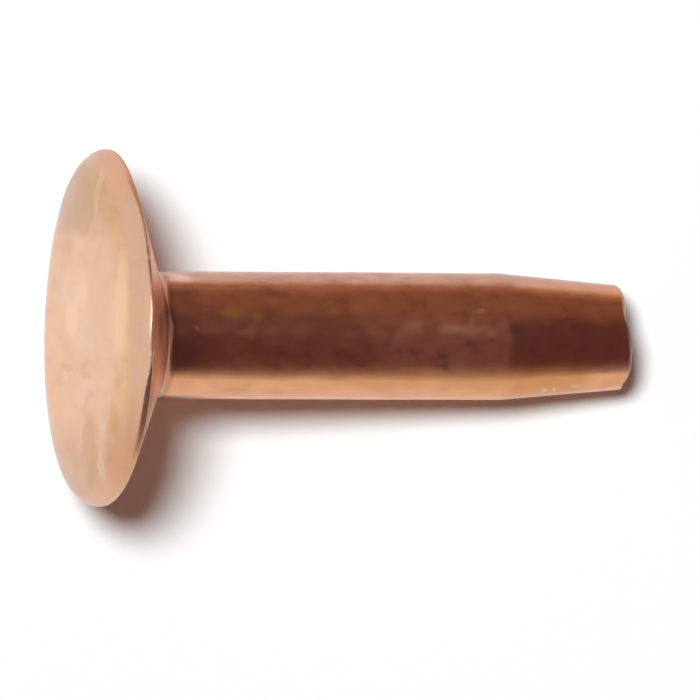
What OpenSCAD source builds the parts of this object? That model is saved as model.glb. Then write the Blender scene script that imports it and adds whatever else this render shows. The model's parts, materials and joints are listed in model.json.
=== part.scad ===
// A solid belt rivet, headed and pointed from one length of copper wire.
// It stands on its head: the origin is the centre of the head's flat outer face,
// and +Z runs along the shank to the tip. All lengths are in millimetres.

/* [Head] */
// Diameter of the head, across its rim
head_d = 11.72; // [9:0.02:16]
// Thickness of the head at its rim, from the outer face to the back edge
rim_t = 0.86; // [0.82:0.02:1.6]
// Radius of the round from the outer face to the rim
shoulder_r = 0.68; // [0.2:0.02:0.7]
// Radius of the round on the rim's back edge
back_edge_r = 0.1; // [0.02:0.01:0.14]
// Slope of the underside, in degrees from the plane of the outer face
underside_slope = 22; // [5:1:35]

/* [Shank] */
// Diameter of the straight shank
shank_d = 4.2; // [3.6:0.02:6]
// Length under the head, from where the underside meets the shank to the end face
shank_l = 16.2; // [9:0.05:30]
// Radius of the fillet between the underside and the shank
neck_r = 0.15; // [0.05:0.01:0.6]

/* [Tip] */
// Length of the taper, from the straight shank to the end face
taper_l = 4.3; // [2:0.05:6]
// Diameter that the taper comes down to at the end face
tip_d = 3.44; // [2.4:0.02:3.5]
// Radius of the easy bend from the straight shank into the taper
bend_r = 6; // [1:0.5:10]
// Radius of the round on the edge of the end face
tip_edge_r = 0.2; // [0.05:0.01:0.5]

/* [Hidden] */

// The copper's colour, a warm salmon brown
copper = [0.82, 0.56, 0.43];
// Sides of a full turn, and the largest angle that one step of a round takes
turn_sides = 160;
round_step = 7;

head_r = head_d / 2;
shank_r = shank_d / 2;
tip_r = tip_d / 2;
// Height at which the underside's slope reaches the shank
neck_z = rim_t + (head_r - shank_r) * tan(underside_slope);
// Heights of the end face and of the foot of the taper
tip_z = neck_z + shank_l;
taper_z = tip_z - taper_l;

// Corners of the half section, from the centre of the face out, up and back to the axis.
// Each is [distance from the axis, height, radius of its round].
corners = [
    [0, 0, 0],
    [head_r, 0, shoulder_r],
    [head_r, rim_t, back_edge_r],
    [shank_r, neck_z, neck_r],
    [shank_r, taper_z, bend_r],
    [tip_r, tip_z, tip_edge_r],
    [0, tip_z, 0]
];

// The first two numbers of a corner, as a point
function place(corner) = [corner[0], corner[1]];

// A vector of length 1 along v
function unit(v) = v / norm(v);

// Vector v turned by an angle, anticlockwise
function turned(v, angle) = [
    v[0] * cos(angle) - v[1] * sin(angle),
    v[0] * sin(angle) + v[1] * cos(angle)
];

// The arc of radius r that rounds corner b between its neighbours a and c.
// It touches both sides, and works for an outside corner and for a fillet.
function round_corner(a, b, c, r) =
    let (
        to_a = unit(a - b),
        to_c = unit(c - b),
        half = acos(to_a * to_c) / 2,
        centre = b + unit(to_a + to_c) * r / sin(half),
        start = b + to_a * r / tan(half) - centre,
        sweep = sign(cross(to_c, to_a)) * (180 - 2 * half),
        steps = ceil(abs(sweep) / round_step)
    )
    [for (i = [0:steps]) centre + turned(start, sweep * i / steps)];

// The whole half section, with each corner that has a radius rounded
section = [
    for (i = [0:len(corners) - 1])
        each corners[i][2] == 0
            ? [place(corners[i])]
            : round_corner(place(corners[i - 1]), place(corners[i]), place(corners[i + 1]), corners[i][2])
];

// The rivet: flat thin head, sloping underside, straight shank and tapered tip
module rivet() {
    color(copper)
        rotate_extrude($fn = turn_sides)
            polygon(section);
}

rivet();
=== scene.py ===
import json
import math

import bpy
from mathutils import Matrix, Vector, noise


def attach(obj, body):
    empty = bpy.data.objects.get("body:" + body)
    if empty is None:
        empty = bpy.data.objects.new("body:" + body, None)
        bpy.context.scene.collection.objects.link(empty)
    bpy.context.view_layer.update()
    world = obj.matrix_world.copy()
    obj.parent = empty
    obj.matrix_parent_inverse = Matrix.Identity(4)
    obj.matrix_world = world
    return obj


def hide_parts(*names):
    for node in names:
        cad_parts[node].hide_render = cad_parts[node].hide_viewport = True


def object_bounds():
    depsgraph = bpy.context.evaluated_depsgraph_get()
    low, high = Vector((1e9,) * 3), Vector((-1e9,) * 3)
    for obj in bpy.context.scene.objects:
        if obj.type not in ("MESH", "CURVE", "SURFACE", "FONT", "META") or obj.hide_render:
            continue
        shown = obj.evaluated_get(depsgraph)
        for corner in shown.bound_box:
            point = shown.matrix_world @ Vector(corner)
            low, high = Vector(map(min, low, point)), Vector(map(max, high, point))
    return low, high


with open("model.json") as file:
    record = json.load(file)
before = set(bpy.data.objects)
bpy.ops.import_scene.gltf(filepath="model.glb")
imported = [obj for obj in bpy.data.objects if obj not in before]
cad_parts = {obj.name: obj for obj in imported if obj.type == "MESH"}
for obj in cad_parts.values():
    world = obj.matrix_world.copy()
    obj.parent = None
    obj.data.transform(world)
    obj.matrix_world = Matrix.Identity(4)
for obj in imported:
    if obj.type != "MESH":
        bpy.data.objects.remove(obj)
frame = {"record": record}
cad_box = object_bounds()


# The rivet. One length of soft drawn copper wire, upset at one end into a thin flat head, which came
# out a little off centre and out of round, and swaged at the other to a taper, which was cropped and so
# is crisp on one side only. Lengths are in millimetres, and angles round it go from -Y towards +X.
MM = 0.001
shank_mount = next(m for m in frame["record"]["mounts"] if m["name"] == "shank")
HEAD_R = cad_box[1].x / MM
TIP_Z = cad_box[1].z / MM
SHANK_R = shank_mount["dims"]["r_mm"]
RIM_T = 0.86
CROWN_START_R = 4.79
CROWN_ROUND = 3.4
CROWN_SLOPE = math.radians(14.5)
BAND_START_R = 5.64
BAND_ROUND = 0.8
UNDERSIDE_SLOPE = math.radians(22)
NECK_ROUND = 0.4
TAPER_L = 4.3
TAPER_Z = TIP_Z - TAPER_L
TIP_R = 1.73
BEND_ROUND = 2.5
CRISP_EDGES = {"rim_z": 0.65, "rim": 0.2, "back": 0.05, "tip": 0.05}
WORN_EDGES = {"rim_z": 0.78, "rim": 0.25, "back": 0.05, "tip": 0.22}
TIP_PROUD = -0.12
TIP_SLANT = 0.06
HEAD_OFF_CENTRE = -0.134
HEAD_LEAN = math.tan(math.radians(0.908))
HEAD_OUT_OF_ROUND = {"second": 0.006, "third cos": 0.014, "third sin": 0.015}
RIM_WEAR = {"usual": 0.2, "varies": 0.3, "patches": 3, "seed": 5.5, "least": -0.3}
RIM_KNOCKS = (
    {"turn": -8, "half": 10, "wear": 0.5},
    {"turn": -32, "half": 36, "wear": 0.65},
    {"turn": 10, "half": 6, "wear": 0.7},
    {"turn": 26, "half": 16, "wear": -0.45},
)
TIP_WEAR = {"usual": 0.1, "varies": 0.25, "patches": 4, "seed": 1.5, "soft side": 0.9}
TIP_SOFT_SIDE = math.radians(-12)
TIP_CHIPS = (
    {"turn": -26, "half": 20, "depth": 0.14},
    {"turn": 68, "half": 16, "depth": 0.1},
)
CHIP_REACH = 0.7
CHIP_FADE = 0.5
WAVES = (
    {"across": 0.7, "along": 0.25, "shift": 0, "depth": 0.008},
    {"across": 1.5, "along": 1.1, "shift": 7, "depth": 0.006},
)
# Above this height there is only shank, and under it only head and neck
SHANK_FROM = RIM_T * 3
ROUND_STEP = math.radians(5)
LONGEST_RUN = {"face": 0.35, "head": 0.12, "shank": 0.16}
SIDES = 384


def round_corner(before, corner, after, radius):
    """The arc that rounds a corner of the half section, as a list of points."""
    to_before = (before - corner).normalized()
    to_after = (after - corner).normalized()
    half = to_before.angle(to_after) / 2
    centre = corner + (to_before + to_after).normalized() * (radius / math.sin(half))
    start = corner + to_before * (radius / math.tan(half)) - centre
    turn = math.copysign(math.pi - 2 * half, to_after.cross(to_before))
    steps = math.ceil(abs(turn) / ROUND_STEP)
    return [centre + Matrix.Rotation(turn * i / steps, 2) @ start for i in range(steps + 1)]


def half_section(edges):
    """The rivet's outline from the centre of the face round to the centre of the tip."""
    crown_z = (BAND_START_R - CROWN_START_R) * math.tan(CROWN_SLOPE)
    neck_z = RIM_T + (HEAD_R - SHANK_R) * math.tan(UNDERSIDE_SLOPE)
    end_z = TIP_Z + TIP_PROUD
    corners = [
        (0, 0, 0),
        (CROWN_START_R, 0, CROWN_ROUND),
        (BAND_START_R, crown_z, BAND_ROUND),
        (HEAD_R, edges["rim_z"], edges["rim"]),
        (HEAD_R, RIM_T, edges["back"]),
        (SHANK_R, neck_z, NECK_ROUND),
        (SHANK_R, TAPER_Z, BEND_ROUND),
        (TIP_R, end_z, edges["tip"]),
        (0, end_z, 0),
    ]
    points = [Vector(c[:2]) for c in corners]
    outline = [points[0]]
    for i in range(1, len(corners) - 1):
        outline += round_corner(points[i - 1], points[i], points[i + 1], corners[i][2])
    return outline + [points[-1]]


def cuts_wanted(outline):
    """How many steps each run of the outline needs, so that the surface can carry dents and waves."""
    cuts = []
    for start, end in zip(outline, outline[1:]):
        part = "shank" if start.y > SHANK_FROM else "face" if end.x < CROWN_START_R else "head"
        cuts.append(math.ceil((end - start).length / LONGEST_RUN[part]))
    return cuts


def cut_up(outline, cuts):
    """The outline with each of its runs cut into so many equal steps."""
    filled = [outline[0]]
    for start, end, count in zip(outline, outline[1:], cuts):
        filled += [start.lerp(end, i / count) for i in range(1, count + 1)]
    return filled


def how_near(angle, place):
    """1 at a marked place round the axis, falling away to 0 about its half width to either side."""
    away = math.remainder(angle - math.radians(place["turn"]), math.tau) / math.radians(place["half"])
    return math.exp(-away * away)


def patchy(angle, kind):
    """An edge's usual wear and its smooth changes, which meet after a full turn round the axis."""
    around = (math.cos(angle) * kind["patches"], math.sin(angle) * kind["patches"], kind["seed"])
    return kind["usual"] + kind["varies"] * noise.noise(around)


def rim_wear(angle):
    """How far the rim's edge is rounded over: 1 is worn, 0 crisp, and under 0 crisper still."""
    wear = patchy(angle, RIM_WEAR)
    for knock in RIM_KNOCKS:
        wear += knock["wear"] * how_near(angle, knock)
    return min(max(wear, RIM_WEAR["least"]), 1.0)


def tip_wear(angle):
    """The same for the edge of the tip: soft on one side, crisp where the cropping tool left it."""
    soft = max(0.0, math.cos(angle - TIP_SOFT_SIDE))
    return patchy(angle, TIP_WEAR) + TIP_WEAR["soft side"] * soft


def waviness(x, y, z):
    """The shallow waves that drawing and handling leave in soft wire."""
    total = 0
    for wave in WAVES:
        place = (x * wave["across"], y * wave["across"], z * wave["along"] + wave["shift"])
        total += wave["depth"] * noise.noise(place)
    return total


def settled(radius, height, angle):
    """A point of the turned form, moved to where the real, uneven rivet has it."""
    share = min(max((radius - SHANK_R) / (HEAD_R - SHANK_R), 0.0), 1.0)
    swell = HEAD_OUT_OF_ROUND["second"] * math.sin(2 * angle)
    swell += HEAD_OUT_OF_ROUND["third cos"] * math.cos(3 * angle)
    swell += HEAD_OUT_OF_ROUND["third sin"] * math.sin(3 * angle)
    radius *= 1 + share * swell
    x = radius * math.sin(angle) + share * HEAD_OFF_CENTRE
    y = -radius * math.cos(angle)
    z = height - share * HEAD_LEAN * x
    if height > TAPER_Z:
        z += TIP_SLANT * x * (height - TAPER_Z) / TAPER_L
    near_end = min(max((height - TIP_Z + CHIP_REACH) / CHIP_FADE, 0.0), 1.0)
    for chip in TIP_CHIPS:
        z -= chip["depth"] * how_near(angle, chip) * near_end * min(radius / TIP_R, 1.0) ** 2
    if height > SHANK_FROM:
        wave = waviness(x, y, z)
        x += math.sin(angle) * wave
        y -= math.cos(angle) * wave
    return Vector((x, y, z))


def turned_mesh(name, sides):
    """The half section turned about Z into a closed mesh, in metres, with one vertex at each pole."""
    crisp = half_section(CRISP_EDGES)
    worn = half_section(WORN_EDGES)
    cuts = cuts_wanted(crisp)
    crisp = cut_up(crisp, cuts)
    worn = cut_up(worn, cuts)
    points = [Vector((0, 0, crisp[0].y))]
    for sharp, soft in zip(crisp[1:-1], worn[1:-1]):
        wear = tip_wear if sharp.y > SHANK_FROM else rim_wear
        for k in range(sides):
            angle = math.tau * k / sides
            ring = sharp.lerp(soft, wear(angle))
            points.append(settled(ring.x, ring.y, angle))
    points.append(Vector((0, 0, crisp[-1].y)))
    faces = [(0, 1 + (k + 1) % sides, 1 + k) for k in range(sides)]
    for ring_start in range(1, len(points) - 1 - sides, sides):
        for k in range(sides):
            low = ring_start + k
            low_after = ring_start + (k + 1) % sides
            faces.append((low_after, low_after + sides, low + sides, low))
    last = len(points) - 1 - sides
    top = len(points) - 1
    faces += [(last + (k + 1) % sides, top, last + k) for k in range(sides)]
    mesh = bpy.data.meshes.new(name)
    mesh.from_pydata([p * MM for p in points], [], faces)
    mesh.shade_smooth()
    return mesh


rivet = bpy.data.objects.new("belt_rivet", turned_mesh("belt_rivet", SIDES))
bpy.context.scene.collection.objects.link(rivet)


class Amount:
    """A number that a node gives. Sums and products of it add Math nodes."""

    def __init__(self, finish, socket):
        self.finish = finish
        self.socket = socket

    def maths(self, operation, first, second):
        return self.finish.add("ShaderNodeMath", {"operation": operation}, {0: first, 1: second})

    def __add__(self, other):
        return self.maths("ADD", self, other)

    def __radd__(self, other):
        return self.maths("ADD", other, self)

    def __sub__(self, other):
        return self.maths("SUBTRACT", self, other)

    def __rsub__(self, other):
        return self.maths("SUBTRACT", other, self)

    def __mul__(self, other):
        return self.maths("MULTIPLY", self, other)

    def __rmul__(self, other):
        return self.maths("MULTIPLY", other, self)

    def larger(self, other):
        return self.maths("MAXIMUM", self, other)


class Finish:
    """The nodes of one material or of the world."""

    def __init__(self, owner):
        owner.use_nodes = True
        self.nodes = owner.node_tree.nodes
        self.links = owner.node_tree.links
        self.nodes.clear()

    def add(self, kind, settings=None, inputs=None, out=0):
        """One node: its settings, then its inputs by name or place. Gives its output called out."""
        node = self.nodes.new(kind)
        for name, value in (settings or {}).items():
            setattr(node, name, value)
        for name, value in (inputs or {}).items():
            self.feed(self.find(node.inputs, name), value)
        if not len(node.outputs):
            return node
        return Amount(self, self.find(node.outputs, out))

    def find(self, sockets, name):
        """A node's socket by place or by name, among those that its settings leave in use."""
        if isinstance(name, int):
            return [s for s in sockets if s.enabled][name]
        return next(s for s in sockets if s.enabled and s.name == name)

    def feed(self, socket, value):
        """Links an amount to a socket, or sets the socket to a plain value."""
        if isinstance(value, Amount):
            self.links.new(value.socket, socket)
        else:
            socket.default_value = value

    def blend(self, amount, first, second):
        """The colour first where amount is 0 and second where it is 1."""
        return self.add("ShaderNodeMix", {"data_type": "RGBA"}, {"Factor": amount, "A": first, "B": second})

    def rise(self, amount, low, high):
        """0 where amount is under low, 1 over high, and smooth between. It falls if low is the larger."""
        inputs = {"Value": amount, "From Min": low, "From Max": high}
        return self.add("ShaderNodeMapRange", {"interpolation_type": "SMOOTHSTEP"}, inputs)

    def span(self, amount, start, full, fading, gone):
        """1 from full to fading, and 0 before start and after gone."""
        return self.rise(amount, start, full) * self.rise(amount, gone, fading)

    def vectors(self, operation, first, second, out="Vector"):
        return self.add("ShaderNodeVectorMath", {"operation": operation}, {0: first, 1: second}, out)

    def length(self, vector):
        return self.add("ShaderNodeVectorMath", {"operation": "LENGTH"}, {0: vector}, "Value")

    def axis(self, vector, name):
        """One coordinate of a vector: X, Y or Z."""
        return self.add("ShaderNodeSeparateXYZ", None, {"Vector": vector}, name)

    def noise(self, place, stretch, scale, detail=2.0):
        """Noise from 0 to 1, drawn out along the axes that stretch has low numbers for."""
        drawn = self.vectors("MULTIPLY", place, stretch)
        return self.add("ShaderNodeTexNoise", None, {"Vector": drawn, "Scale": scale, "Detail": detail})

    def spot(self, place, centre, size, soft):
        """1 inside an oval spot of the half sizes given, fading to 0 across its edge."""
        away = self.vectors("MULTIPLY", self.vectors("SUBTRACT", place, centre), [1 / s for s in size])
        return 1 - self.rise(self.length(away), 1 - soft, 1 + soft)


# The tones of the bare copper, which is pale where the head's face is worn clean and browner where the
# shank has tarnished. Some of them are also used as painted shade and painted highlights, as said where
# each is used
CLEAN = (0.85, 0.52, 0.27, 1)
DARKER_AT_ENDS = (0.70, 0.405, 0.21, 1)
DULL_AND_PAINTED_SHADE = (0.58, 0.34, 0.16, 1)
PINK = (0.86, 0.50, 0.33, 1)
PALE = (0.90, 0.62, 0.41, 1)
GOLDEN = (0.64, 0.31, 0.10, 1)
PEACH_HIGHLIGHT = (1.0, 0.68, 0.44, 1)
GREYED = (0.64, 0.49, 0.41, 1)
ROSY = (0.79, 0.455, 0.285, 1)
UNDER_HEAD_WARM_SHADE = (0.90, 0.33, 0.18, 1)
UMBER = (0.48, 0.23, 0.13, 1)
RUSSET = (0.58, 0.29, 0.165, 1)
DARK = (0.42, 0.20, 0.13, 1)
RIM_GLINT_WHITE = (1.0, 0.84, 0.70, 1)
TARNISHED = (0.78, 0.385, 0.205, 1)
BROWN = (0.62, 0.27, 0.13, 1)
MAUVE = (0.55, 0.31, 0.245, 1)
ORANGE = (0.90, 0.46, 0.24, 1)
PLUM = (0.42, 0.20, 0.18, 1)
LIGHTER_COPPER = (1.0, 0.55, 0.31, 1)
AMBER = (0.64, 0.285, 0.115, 1)
OLIVE = (0.80, 0.50, 0.16, 1)
GLINT = (0.95, 0.70, 0.58, 1)
CROPPED_DARK = (0.34, 0.225, 0.19, 1)
CROPPED_LIGHT = (0.44, 0.28, 0.21, 1)
BURR_AND_HIGHLIGHT = (0.62, 0.42, 0.28, 1)
METAL_TINT = (0.92, 0.87, 0.88, 1)

# Marks on the face: (x, y) of the centre, half sizes, softness of the edge, colour and strength. The large
# dull and golden ovals near both ends are painted shade, and the pale streaks among them and the bright
# ovals in the middle and along the near edge are painted highlights; the rest are marks and tone in the
# copper
FACE_MARKS = (
    ((-4.6, 1.6), (1.2, 2.2), 0.25, DULL_AND_PAINTED_SHADE, 0.65),
    ((-4.1, -0.2), (0.9, 1.15), 0.15, DULL_AND_PAINTED_SHADE, 0.5),
    ((-4.3, -3.0), (0.9, 0.8), 0.4, DULL_AND_PAINTED_SHADE, 0.3),
    ((3.8, -1.1), (1.2, 0.85), 0.2, DULL_AND_PAINTED_SHADE, 0.55),
    ((3.6, -4.0), (0.9, 1.0), 0.4, DULL_AND_PAINTED_SHADE, 0.35),
    ((4.3, 1.2), (0.9, 1.5), 0.5, DULL_AND_PAINTED_SHADE, 0.3),
    ((-0.6, -2.0), (1.0, 0.7), 0.5, PINK, 0.45),
    ((1.05, 1.8), (0.13, 0.8), 0.5, DULL_AND_PAINTED_SHADE, 0.45),
    ((1.33, -0.8), (0.1, 0.7), 0.5, DULL_AND_PAINTED_SHADE, 0.4),
    ((0.4, 1.9), (0.22, 0.6), 0.5, DULL_AND_PAINTED_SHADE, 0.2),
    ((-2.9, 1.9), (0.25, 0.9), 0.6, DULL_AND_PAINTED_SHADE, 0.35),
    ((-2.4, -5.4), (0.3, 0.35), 0.4, DULL_AND_PAINTED_SHADE, 0.6),
    ((-4.8, -1.65), (1.2, 0.26), 0.3, PALE, 0.6),
    ((4.4, -2.5), (0.8, 0.3), 0.4, PALE, 0.6),
    ((-0.7, 0.2), (1.4, 1.5), 0.4, PALE, 0.35),
    ((-1.6, 2.6), (0.6, 0.9), 0.4, PALE, 0.3),
    ((-0.5, -4.4), (0.9, 1.0), 0.5, PALE, 0.35),
    ((0.25, -0.4), (0.35, 0.8), 0.6, PALE, 0.35),
    ((2.5, 1.5), (0.3, 0.9), 0.5, PALE, 0.4),
    ((2.24, -4.36), (0.25, 0.3), 0.5, PINK, 0.7),
    ((-4.3, -1.3), (0.9, 1.1), 0.5, GOLDEN, 0.45),
    ((3.6, -1.6), (0.9, 1.0), 0.5, GOLDEN, 0.45),
    ((2.7, -4.0), (0.6, 0.5), 0.5, GOLDEN, 0.35),
    ((-0.55, 1.2), (0.5, 0.8), 0.5, PEACH_HIGHLIGHT, 0.7),
    ((-1.45, 0.1), (0.6, 0.9), 0.5, PEACH_HIGHLIGHT, 0.45),
    ((-1.0, -4.75), (1.9, 0.5), 0.4, PEACH_HIGHLIGHT, 0.55),
)

# Painted highlights on the rim's edge, near its knocks: degrees round the head, and height
RIM_GLINTS = ((-29.5, 0.86), (-24.5, 0.86), (7, 0.79))
RIM_GLINT_SIZE = (0.12, 0.12, 0.09)
RIM_GLINT_SOFT = 0.5

# Stains, painted shade and painted reflections, in the order that they lie over each other: where each is,
# its colour and its strength. Of two limits the first is where it starts and the second where it is full.
# Four are start, full, fade and end
# Painted shade on the far edge of the face, which mirrors the shade where the rim meets the paper
FAR_EDGE_PAINTED_SHADE = ({"radius": (4.1, 4.9), "forward": (0.3, 1.8), "height": (0.25, 0.1)}, GREYED, 0.35)
RIM_SHADE_AND_DARKER_EDGE = (
    # Painted shade on the back edge and underside of the rim along its lower side
    ({"height": (0.77, 0.84, 1.0, 1.4), "sideways": (0.4, 2.2)}, UMBER, 0.8),
    # Darker towards the lower right of the face's edge, on the camera's side
    ({"radius": (4.6, 5.3), "sideways": (1.5, 4.5), "forward": (-1.8, -3.6)}, RUSSET, 0.45),
    # Painted shade: the dark line on the camera's side of the rim, low down
    ({"height": (0.55, 0.65, 1.0, 1.2), "forward": (0, -1), "sideways": (2.2, 2.9, 3.6, 4.1)}, DARK, 0.65),
)
# Painted shade in the neck, where the underside of the head meets the shank
NECK_PAINTED_SHADE = ({"height": (2.15, 2.3, 2.6, 2.8)}, DARK, 0.6)
# The upper side of the shank is darker and pinker: a painted reflection
UPPER_SIDE_PAINTED_REFLECTION = ({"sideways": (-1.4, -1.95)}, MAUVE, 0.8)
STAINS_AND_SHADE_UNDER_LIGHTER_PATCH = (
    ({"height": (14.3, 14.0), "sideways": (-0.95, -0.45, -0.35, -0.05)}, DARK, 0.7),
    # Painted shade on the middle and lower side of the taper
    ({"height": (14.1, 14.4), "sideways": (-0.5, -0.3, 1.1, 1.3)}, PLUM, 0.35),
)
# A lighter stretch on the middle and lower side of the shank
LIGHTER_PATCH = {"height": (8.5, 10.5, 13.9, 14.3), "sideways": (-0.9, -0.2, 1.1, 1.35)}
STAINS_AND_REFLECTION_OVER_LIGHTER_PATCH = (
    # Painted reflection: amber strips along the lower side of the taper and the shank
    ({"height": (14.0, 14.6, 16.6, 17.6), "sideways": (0.7, 0.95)}, AMBER, 0.85),
    ({"height": (7.5, 9.5, 14.2, 14.8), "sideways": (0.95, 1.15, 1.6, 1.85)}, AMBER, 0.45),
    # Tarnish near the head
    ({"height": (4.7, 2.8), "sideways": (-0.7, 0.1, 1.1, 1.3)}, DARK, 0.9),
    ({"height": (4.2, 2.9), "sideways": (-1.6, -1.3, -0.5, 0.0)}, DARK, 0.5),
)

# Spots on the shank: height, degrees round it, half sizes along and across, colour and strength
SHANK_SPOTS = (
    (4.62, -21, 0.3, 0.22, OLIVE, 0.6),
    (5.42, -17, 0.2, 0.15, OLIVE, 0.5),
    (8.0, -29, 0.25, 0.12, OLIVE, 0.4),
    (13.08, -24, 0.12, 0.10, PALE, 0.8),
    (3.37, -7, 0.08, 0.07, PALE, 0.6),
    (4.89, -2, 0.08, 0.07, PALE, 0.7),
    (3.1, -62, 0.35, 0.3, GLINT, 0.55),
    (10.9, -66, 0.12, 0.1, DARK, 0.7),
    (13.04, -12, 0.2, 0.15, DARK, 0.3),
    (13.63, -13, 0.15, 0.2, DARK, 0.3),
    (10.3, -8, 0.5, 0.15, TARNISHED, 0.6),
    (11.4, -1, 0.3, 0.2, TARNISHED, 0.6),
    (12.2, 1, 0.3, 0.12, TARNISHED, 0.5),
    (9.3, -10, 1.7, 0.2, TARNISHED, 0.5),
    (17.3, -19, 0.55, 0.3, TARNISHED, 0.5),
    (15.55, 64, 0.12, 0.14, PALE, 0.4),
    (15.95, 63, 0.08, 0.12, PALE, 0.4),
    (16.7, 58, 0.3, 0.1, PALE, 0.3),
)
SHANK_SPOT_SOFT = 0.6

# How far the edges of the marks and spots wander, and the roughness of each part of the copper
RAGGED = {"Scale": 2.2, "Detail": 3.0}
RAGGED_SHIFT = 0.4
ROUGHNESS = {"bare": 0.17, "soft patches": 0.05, "rim": 0.1, "end face": 0.3}
UNDERSIDE_ROUGHNESS = {"bare": 0.18, "handled": 0.14}
LINE_DEPTH = 0.01 * MM
LINE_STRENGTH = 0.15


class Surface:
    """Where a point of the copper is, and the masks that colour and roughness share."""

    def __init__(self, finish):
        self.finish = finish
        in_metres = finish.add("ShaderNodeTexCoord", out="Object")
        self.place = finish.vectors("MULTIPLY", in_metres, (1 / MM,) * 3)
        self.sideways = finish.axis(self.place, "X")
        self.forward = finish.axis(self.place, "Y")
        self.height = finish.axis(self.place, "Z")
        self.radius = finish.length(finish.vectors("MULTIPLY", self.place, (1, 1, 0)))
        shift = finish.add("ShaderNodeTexNoise", None, {"Vector": self.place, **RAGGED}, "Color")
        shift = finish.vectors("SUBTRACT", shift, (0.5, 0.5, 0.5))
        shift = finish.vectors("MULTIPLY", shift, (RAGGED_SHIFT,) * 3)
        self.ragged_place = finish.vectors("ADD", self.place, shift)
        self.soft_patches = finish.rise(finish.noise(self.place, (1, 0.4, 1), 1.5, 3.0), 0.4, 0.62)
        self.handling = finish.rise(finish.noise(self.place, (1, 1, 1), 0.7, 4.0), 0.35, 0.7)
        self.on_shank = finish.rise(self.height, 2.2, 2.45)
        self.underside = finish.rise(self.height, 0.84, 0.9) * (1 - self.on_shank)
        self.rim = finish.span(self.height, 0.4, 0.55, 0.85, 0.95)
        facing_up = finish.axis(finish.add("ShaderNodeTexCoord", out="Normal"), "Z")
        self.end_face = finish.rise(facing_up, 0.12, 0.4) * finish.rise(self.height, TIP_Z - 2, TIP_Z - 1)

    def mask(self, limits):
        """1 where each coordinate named is within its limits, which are two for a rise, four for a span."""
        there = 1
        for name, stops in limits.items():
            fade = self.finish.rise if len(stops) == 2 else self.finish.span
            there = there * fade(getattr(self, name), *stops)
        return there

    def stain(self, colour, limits, stain_colour, strength):
        """The colour with a soft-edged stain over it."""
        return self.finish.blend(self.mask(limits) * strength, colour, stain_colour)


def face_colour(finish, at):
    """The outer face: clean copper, darker towards both ends, with soft patches and marks, some of them
    painted shade and painted highlights.
    """
    ends = finish.rise(at.sideways * at.sideways, 4.0, 20.0)
    colour = finish.blend(ends, CLEAN, DARKER_AT_ENDS)
    colour = finish.blend(at.soft_patches * 0.6, colour, PINK)
    bright_patches = finish.rise(finish.noise(at.place, (1, 0.5, 1), 0.8, 3.0), 0.5, 0.68)
    colour = finish.blend(bright_patches * 0.5, colour, PALE)
    dull_patches = finish.rise(finish.noise(at.place, (1.3, 0.5, 1), 1.1, 1.5), 0.5, 0.8)
    colour = finish.blend(dull_patches * 0.45, colour, DULL_AND_PAINTED_SHADE)
    # Some of these marks are painted shade and painted highlights, as said where they are listed
    for centre, size, soft, mark_colour, strength in FACE_MARKS:
        there = finish.spot(at.ragged_place, centre + (0,), size + (1,), soft)
        colour = finish.blend(there * strength, colour, mark_colour)
    return colour


def head_colour(finish, at):
    """The whole head: the face, its bevelled edge, the rim and the underside, with painted shade,
    reflections and highlights.
    """
    # Painted shade on the far edge of the face
    colour = at.stain(face_colour(finish, at), *FAR_EDGE_PAINTED_SHADE)
    # The camera's side of the bevel is tinted rosy: a painted reflection of the bright room on the left
    uneven = (finish.noise(at.place, (1, 1, 1), 0.9, 2.0) - 0.5) * 0.12
    bevel = finish.rise(at.height + at.sideways * 0.015 + uneven, 0.09, 0.26)
    bevel = bevel * finish.rise(at.forward, 0.5, -0.5)
    colour = finish.blend(bevel * 0.85, colour, ROSY)
    # The underside is tinted red in patches: painted warm shade under the head, where its copper mirrors
    # the shaded paper
    colour = finish.blend(at.underside * (0.35 + at.handling * 0.3), colour, UNDER_HEAD_WARM_SHADE)
    # Painted shade on the rim, and a darker face edge
    for limits, stain_colour, strength in RIM_SHADE_AND_DARKER_EDGE:
        colour = at.stain(colour, limits, stain_colour, strength)
    # Painted highlights where light catches the rim
    for turn, height in RIM_GLINTS:
        side = math.radians(turn)
        glint_place = (HEAD_R * math.sin(side) + HEAD_OFF_CENTRE, -HEAD_R * math.cos(side), height)
        there = finish.spot(at.place, glint_place, RIM_GLINT_SIZE, RIM_GLINT_SOFT)
        colour = finish.blend(there, colour, RIM_GLINT_WHITE)
    return colour


def shank_place(height, turn):
    """The place on the shank or taper at a height, so many degrees round."""
    taper = max(height - TAPER_Z, 0) * (SHANK_R - TIP_R) / TAPER_L
    side = math.radians(turn)
    return ((SHANK_R - taper) * math.sin(side), (taper - SHANK_R) * math.cos(side), height)


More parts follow.
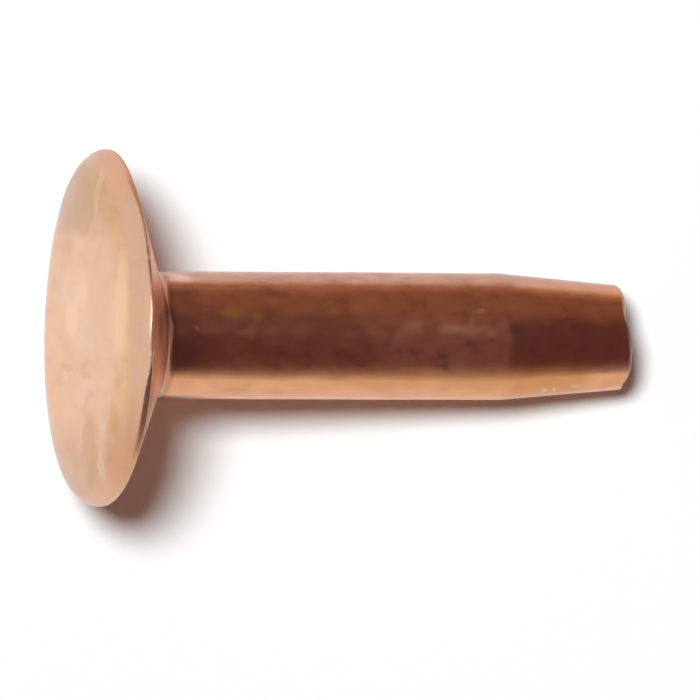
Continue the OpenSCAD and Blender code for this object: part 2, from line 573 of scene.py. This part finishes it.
def shank_colour(finish, at):
    """The shank: brown tarnish and stains, painted shade and reflections, a lighter stretch, and the darker
    cropped end face.
    """
    tarnish = finish.rise(finish.noise(at.place, (1, 1, 0.5), 1.3, 4.0), 0.4, 0.65)
    # Painted reflection along the upper side
    colour = at.stain(finish.blend(tarnish * 0.4, TARNISHED, BROWN), *UPPER_SIDE_PAINTED_REFLECTION)
    mottle = finish.noise(at.place, (1, 1, 0.6), 2.4, 3.0)
    colour = finish.blend(finish.rise(mottle, 0.45, 0.7) * 0.3, colour, ORANGE)
    lower_side = finish.rise(at.sideways, 1.1, 1.3)
    colour = finish.blend(finish.rise(mottle, 0.48, 0.3) * (0.4 - lower_side * 0.28), colour, DARK)
    # Stains, and painted shade on the taper
    for limits, stain_colour, strength in STAINS_AND_SHADE_UNDER_LIGHTER_PATCH:
        colour = at.stain(colour, limits, stain_colour, strength)
    colour = at.stain(colour, LIGHTER_PATCH, LIGHTER_COPPER, finish.rise(mottle, 0.2, 0.55))
    # Stains, and painted reflection along the lower side
    for limits, stain_colour, strength in STAINS_AND_REFLECTION_OVER_LIGHTER_PATCH:
        colour = at.stain(colour, limits, stain_colour, strength)
    for height, turn, half_long, half_wide, spot_colour, strength in SHANK_SPOTS:
        size = (half_wide, half_wide, half_long)
        there = finish.spot(at.ragged_place, shank_place(height, turn), size, SHANK_SPOT_SOFT)
        colour = finish.blend(there * strength, colour, spot_colour)
    # The end face is darker and greyer, partly its cropped finish and partly a painted reflection of the
    # shade beyond the tip. Its upper edge is lighter, partly the burr and partly a painted highlight
    streaks = finish.rise(finish.noise(at.place, (0.4, 4, 1), 1.2, 3.0), 0.35, 0.65)
    cropped = finish.blend(streaks, CROPPED_DARK, CROPPED_LIGHT)
    burr_and_highlight = finish.rise(at.sideways, -0.5, -0.9) * finish.rise(at.radius, 1.3, 1.55)
    return finish.blend(at.end_face, colour, finish.blend(burr_and_highlight, cropped, BURR_AND_HIGHLIGHT))


def copper_material():
    """The finish of the whole rivet, with fine drawing lines along it."""
    material = bpy.data.materials.new("copper")
    finish = Finish(material)
    at = Surface(finish)
    colour = finish.blend(at.on_shank, head_colour(finish, at), shank_colour(finish, at))
    under_head = UNDERSIDE_ROUGHNESS["bare"] + at.handling * UNDERSIDE_ROUGHNESS["handled"]
    roughness = ROUGHNESS["bare"] + at.soft_patches * ROUGHNESS["soft patches"] + at.underside * under_head
    roughness = roughness + at.rim * ROUGHNESS["rim"] + at.end_face * ROUGHNESS["end face"]
    drawing_lines = finish.noise(at.place, (1, 1, 0.03), 7.0)
    bump_inputs = {"Strength": LINE_STRENGTH, "Distance": LINE_DEPTH, "Height": drawing_lines}
    inputs = {
        # Painted shade in the neck, over all the rest
        "Base Color": at.stain(colour, *NECK_PAINTED_SHADE),
        "Metallic": 1.0,
        "Roughness": roughness,
        "Specular Tint": METAL_TINT,
        "Normal": finish.add("ShaderNodeBump", None, bump_inputs),
    }
    shader = finish.add("ShaderNodeBsdfPrincipled", None, inputs)
    finish.add("ShaderNodeOutputMaterial", None, {"Surface": shader})
    return material


rivet.data.materials.append(copper_material())
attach(rivet, "root")
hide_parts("rivet")


# The camera. It looks down on the rivet where it lies on its side, so the shank runs to the right and
# tips a little away, and the outer face of the head shows as a narrow ellipse.
TILT = math.radians(16.2)
ROLL = math.radians(0.265)
PIXELS = 700
PIXELS_PER_MM = 30.502
FACE_CENTRE_PX = (81.0, 334.6)
CAMERA_DISTANCE = 0.4
CAMERA_SEES = (0.01, 3)
SENSOR = 36
along_picture = Vector((0, -math.sin(TILT), math.cos(TILT)))
toward_camera = Vector((0, -math.cos(TILT), -math.sin(TILT)))
picture_right = Matrix.Rotation(ROLL, 3, toward_camera) @ along_picture
picture_up = toward_camera.cross(picture_right)
metres_per_pixel = MM / PIXELS_PER_MM
picture_centre = (
    picture_right * (PIXELS / 2 - FACE_CENTRE_PX[0]) * metres_per_pixel
    - picture_up * (PIXELS / 2 - FACE_CENTRE_PX[1]) * metres_per_pixel
)
camera_data = bpy.data.cameras.new("camera")
camera_data.sensor_width = SENSOR
camera_data.lens = SENSOR * CAMERA_DISTANCE / (PIXELS * metres_per_pixel)
camera_data.clip_start, camera_data.clip_end = CAMERA_SEES
camera = bpy.data.objects.new("camera", camera_data)
bpy.context.scene.collection.objects.link(camera)
turn = Matrix((picture_right, picture_up, toward_camera)).transposed()
camera.matrix_world = Matrix.Translation(picture_centre + toward_camera * CAMERA_DISTANCE) @ turn.to_4x4()
bpy.context.scene.camera = camera


# The paper. A plain white sheet that the rivet lies on, touching the rim of its head and the edge of
# its tip. It is seen from its front only, so it hides nothing in a view from behind.
PAPER_REACH = {"left": 0.2, "right": 0.2, "up": 0.04, "up right": -0.024, "down": 0.2}
PAPER_GAP = 0.00001
PAPER_WHITE = 0.9
PAPER_SHOWN = 0.985
PAPER_HIDES_AT = 0.2
HIDING_FADE = 0.03
LEAST_LEAN = math.radians(8)
MOST_LEAN = math.radians(20)
LEAN_TRIES = 24


def highest_along(way, low_z, high_z):
    """How far the rivet reaches along a direction, counting its points between two heights."""
    return max(v.co.dot(way) for v in rivet.data.vertices if low_z * MM <= v.co.z <= high_z * MM)


def head_reach(way):
    return highest_along(way, -1, RIM_T * 2)


def tip_reach(way):
    return highest_along(way, TIP_Z - 2, TIP_Z + 1)


def resting_normal():
    """The direction out of the paper, found so that the rim and the tip touch it together."""
    low = LEAST_LEAN
    high = MOST_LEAN
    for _ in range(LEAN_TRIES):
        lean = (low + high) / 2
        down = Vector((0, math.cos(lean), math.sin(lean)))
        if head_reach(down) > tip_reach(down):
            low = lean
        else:
            high = lean
    return -down


def stage_sheet(name, centre, along, across, reach, material):
    """A flat sheet of the floor or backdrop, reaching so far left, right, up and down of its centre."""
    corners = [
        centre - along * reach["left"] - across * reach["down"],
        centre + along * reach["right"] - across * reach["down"],
        centre + along * reach["right"] + across * reach["up right"],
        centre - along * reach["left"] + across * reach["up"],
    ]
    mesh = bpy.data.meshes.new(name)
    mesh.from_pydata(corners, [], [(0, 1, 2, 3)])
    mesh.materials.append(material)
    sheet = bpy.data.objects.new(name, mesh)
    bpy.context.scene.collection.objects.link(sheet)
    sheet.visible_shadow = False
    return sheet


def stage_material(name, hides_at):
    """White for what meets its front, and nothing for what meets its back.

    The camera looks through it from so far aside that only its slant would show.
    """
    material = bpy.data.materials.new(name)
    finish = Finish(material)
    back = finish.add("ShaderNodeNewGeometry", out="Backfacing")
    looked_at = finish.add("ShaderNodeLightPath", out="Is Camera Ray")
    slant = finish.add("ShaderNodeLayerWeight", None, {"Blend": 0.5}, "Facing")
    aside = looked_at * finish.rise(slant, hides_at - HIDING_FADE, hides_at)
    colour = finish.blend(looked_at, (PAPER_WHITE,) * 3 + (1,), (PAPER_SHOWN,) * 3 + (1,))
    white = finish.add("ShaderNodeBsdfDiffuse", None, {"Color": colour})
    clear = finish.add("ShaderNodeBsdfTransparent")
    seen = finish.add("ShaderNodeMixShader", None, {0: back.larger(aside), 1: white, 2: clear})
    finish.add("ShaderNodeOutputMaterial", None, {"Surface": seen})
    return material


paper_out = resting_normal()
paper_across = Vector((-1, 0, 0))
paper_along = paper_across.cross(paper_out)
paper_touch = -paper_out * (head_reach(-paper_out) + PAPER_GAP)
paper_white = stage_material("paper", PAPER_HIDES_AT)
stage_sheet("paper", paper_touch, paper_along, paper_across, PAPER_REACH, paper_white)


# The shelf. A plain white floor for the rivet to stand on in the other views. The camera alone sees it,
# and only from above, so it takes no part in the picture of the rivet lying on the paper.
SHELF_REACH = {"left": 0.2, "right": 0.2, "up": 0.2, "up right": 0.2, "down": 0.2}
SHELF_HIDES_AT = 0.9
shelf_centre = Vector((0, 0, min(v.co.z for v in rivet.data.vertices) - PAPER_GAP))
shelf_white = stage_material("shelf", SHELF_HIDES_AT)
shelf = stage_sheet("shelf", shelf_centre, Vector((1, 0, 0)), Vector((0, 1, 0)), SHELF_REACH, shelf_white)
shelf.visible_diffuse = False
shelf.visible_glossy = False


# The lamps. A soft one a little to the upper left of the camera throws the rivet's shadow on the paper,
# and one overhead does the same on the shelf.
LAMP_COLOUR = (0.905, 0.986, 1.0)
KEY_WAY = picture_right * -0.135 + picture_up * 0.182 + toward_camera
KEY = {"angle": 13.5, "power": 3.05}
TOP_WAY = Vector((0.3, 0.05, 1))
TOP = {"angle": 20, "power": 3.15}


def lamp(name, way, kind):
    """A far soft lamp that lights the paper and the shelf from a direction, and isn't mirrored."""
    data = bpy.data.lights.new(name, "SUN")
    data.angle = math.radians(kind["angle"])
    data.energy = kind["power"]
    data.color = LAMP_COLOUR
    made = bpy.data.objects.new(name, data)
    made.rotation_euler = way.to_track_quat("Z", "Y").to_euler()
    made.visible_glossy = False
    bpy.context.scene.collection.objects.link(made)


lamp("key", KEY_WAY, KEY)
lamp("top", TOP_WAY, TOP)


# The room that the copper mirrors. It is bright on the left and low down, and dim and warm on the right,
# with one lamp's glow. Each place in it is given by how far it lies to the right, up and out.
SKY = (0.87, 0.92, 1.02, 1)
ROOM_HIGH = (0.25, 0.145, 0.127, 1)
ROOM_LOW = (0.135, 0.069, 0.08, 1)
BENCH = (0.85, 0.82, 0.80, 1)
BENCH_EDGE = (0.62, 0.55, 0.50, 1)
BEYOND_PAPER = (0.92, 0.88, 0.88, 1)
FAR_EDGE = (0.42, 0.24, 0.18, 1)
DIM_RIGHT = (0.45, 0.43, 0.48, 1)
GLOW = (5.0, 5.1, 5.3, 1)
SHADE = (0.16, 0.081, 0.069, 1)
WHITE = (1, 1, 1, 1)
GLOW_RIGHT = 0.19
GLOW_HALF_WIDE = 0.16
GLOW_UP = 0.24
GLOW_HALF_HIGH = 0.21
# Where each part of the room begins to show and where it shows fully
SKY_RIGHT = (0.3, -0.05)
HIGH_RIGHT = (0.4, 0.0)
HIGH_LEAN = 0.79
BENCH_UP = (-0.3, -0.5)
BENCH_OUT = (0.7, -0.06)
BENCH_LEAN = 0.42
BENCH_TOP_OUT = (0.25, -0.12)
BENCH_TOP_RIGHT = (0.16, 0.0)
DIM_FROM_RIGHT = (0.86, 0.96)
PAPER_UP = (0.3, 0.5)
PAPER_OUT = (-0.04, -0.2)
FAR_EDGE_OUT = (-0.55, -0.25)
FAR_EDGE_RIGHT = (-0.3, -0.05)
GLOW_EDGE = (1.1, 0.5)
GLOW_OUT = (0.4, 0.5)
world = bpy.data.worlds.new("studio")
bpy.context.scene.world = world
world.cycles.sampling_method = "NONE"
studio = Finish(world)
way_out = studio.add("ShaderNodeTexCoord", out="Generated")


def along(direction):
    """How far the way out to the room goes along a direction, from -1 to 1."""
    return studio.vectors("DOT_PRODUCT", way_out, tuple(direction.normalized()), "Value")


right = along(picture_right)
up = along(picture_up)
out = along(toward_camera)
room = studio.blend(studio.rise(right - up * HIGH_LEAN, *HIGH_RIGHT), ROOM_LOW, ROOM_HIGH)
room = studio.blend(studio.rise(right, *SKY_RIGHT), room, SKY)
bench_top = studio.rise(out, *BENCH_TOP_OUT).larger(studio.rise(right, *BENCH_TOP_RIGHT))
low_down = studio.rise(up, *BENCH_UP) * studio.rise(out + right * BENCH_LEAN, *BENCH_OUT)
room = studio.blend(low_down, room, studio.blend(bench_top, BENCH_EDGE, BENCH))
room = studio.blend(studio.rise(right, *DIM_FROM_RIGHT), room, DIM_RIGHT)
over_paper = studio.rise(up, *PAPER_UP) * studio.rise(out, *PAPER_OUT)
far_edge = studio.rise(out, *FAR_EDGE_OUT) * studio.rise(right, *FAR_EDGE_RIGHT)
room = studio.blend(over_paper, room, studio.blend(far_edge, BEYOND_PAPER, FAR_EDGE))
from_glow_right = (right - GLOW_RIGHT) * (1 / GLOW_HALF_WIDE)
from_glow_up = (up - GLOW_UP) * (1 / GLOW_HALF_HIGH)
from_glow = from_glow_right * from_glow_right + from_glow_up * from_glow_up
glow = studio.rise(from_glow, *GLOW_EDGE) * studio.rise(out, *GLOW_OUT)
room = studio.blend(glow, room, GLOW)
mirrored = studio.add("ShaderNodeLightPath", out="Is Glossy Ray")
looked_at = studio.add("ShaderNodeLightPath", out="Is Camera Ray")
shown = studio.blend(looked_at, studio.blend(mirrored, SHADE, room), WHITE)
background = studio.add("ShaderNodeBackground", None, {"Color": shown, "Strength": 1.0})
studio.add("ShaderNodeOutputWorld", None, {"Surface": background})

bpy.context.scene.view_settings.view_transform = "Standard"
